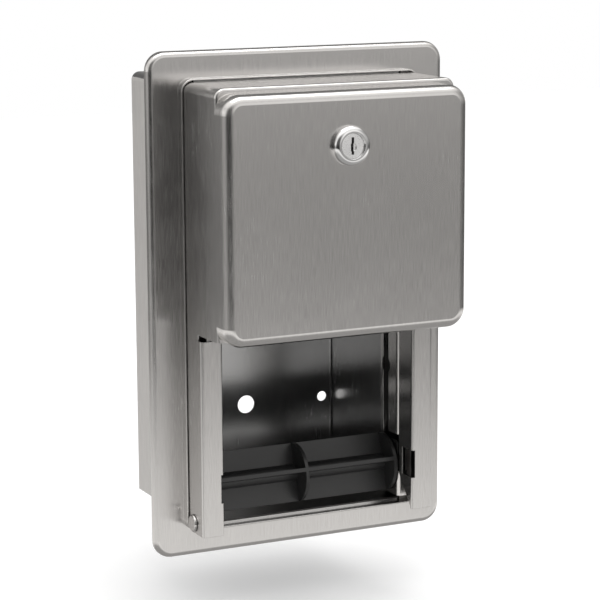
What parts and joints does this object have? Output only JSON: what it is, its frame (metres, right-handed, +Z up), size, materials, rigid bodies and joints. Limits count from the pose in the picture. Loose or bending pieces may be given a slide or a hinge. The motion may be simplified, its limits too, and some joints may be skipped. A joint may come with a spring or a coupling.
{
  "type": "recessed toilet roll holder",
  "caption": "Recessed satin steel holder for two toilet rolls: wall flange, box in the wall, lockable hinged door with a drawn front pan, slotted guides and plastic spindles.",
  "frame": {"origin": "centre of the wall flange on the plane of the finished wall", "axes": "+X to the right as seen from the room, +Y into the wall, +Z up"},
  "size_m": [0.205, 0.1773, 0.32],
  "materials": {
    "satin_steel": "satin, grain upright",
    "cabinet_steel": "bright rolled sheet",
    "spring_leaf": "blackened spring steel",
    "lock_chrome": "polished",
    "lock_zinc": "zinc plated",
    "axle_steel": "drawn bar",
    "spindle_plastic": "black, fine texture"
  },
  "bodies": {
    "cabinet": {"wall_flange": "satin_steel", "hinge_rivets": "satin_steel", "mounting_ring": "cabinet_steel", "cabinet_shell": "cabinet_steel", "cabinet_top": "cabinet_steel", "cabinet_floor": "cabinet_steel", "guide_left": "cabinet_steel", "guide_right": "cabinet_steel", "hinge_lug_left": "cabinet_steel", "hinge_lug_right": "cabinet_steel", "hinge_washers": "cabinet_steel", "lock_keeper": "cabinet_steel", "keeper_rivets": "cabinet_steel", "spindle_retainer_left": "spring_leaf", "spindle_retainer_right": "spring_leaf", "reserve_catch_left": "spring_leaf", "reserve_catch_right": "spring_leaf"},
    "door": {"door_frame": "satin_steel", "door_pan": "satin_steel", "lock_bezel": "lock_chrome", "lock_barrel": "lock_chrome", "lock_nut": "lock_zinc"},
    "lock": {"lock_plug": "lock_chrome", "lock_cam": "lock_zinc", "cam_screw": "lock_zinc"},
    "lower_rod": {"lower_axle": "axle_steel"},
    "lower_roller": {"lower_spindle": "spindle_plastic"},
    "upper_rod": {"upper_axle": "axle_steel"},
    "upper_roller": {"upper_spindle": "spindle_plastic"}
  },
  "joints": [
    {"name": "door_hinge", "type": "hinge", "parent": "cabinet", "child": "door", "pos_m": [0, -0.0181, -0.1348], "axis": [1, 0, 0], "range_deg": [0, 90]},
    {"name": "lock_turn", "type": "hinge", "parent": "door", "child": "lock", "pos_m": [0, -0.075, 0.105], "axis": [0, -1, 0], "range_deg": [0, 90]},
    {"name": "lower_lift", "type": "slide", "parent": "cabinet", "child": "lower_rod", "axis": [0, 0, 1], "range_m": [0, 0.042]},
    {"name": "lower_spin", "type": "hinge", "parent": "lower_rod", "child": "lower_roller", "pos_m": [0, 0.0035, -0.11655], "axis": [1, 0, 0], "continuous": true},
    {"name": "reserve_drop", "type": "slide", "parent": "cabinet", "child": "upper_rod", "axis": [0, 0, 1], "range_m": [-0.064, 0], "deforming": ["reserve_catch_left", "reserve_catch_right"]},
    {"name": "reserve_spin", "type": "hinge", "parent": "upper_rod", "child": "upper_roller", "pos_m": [0, 0.0035, 0.03], "axis": [1, 0, 0], "continuous": true}
  ]
}
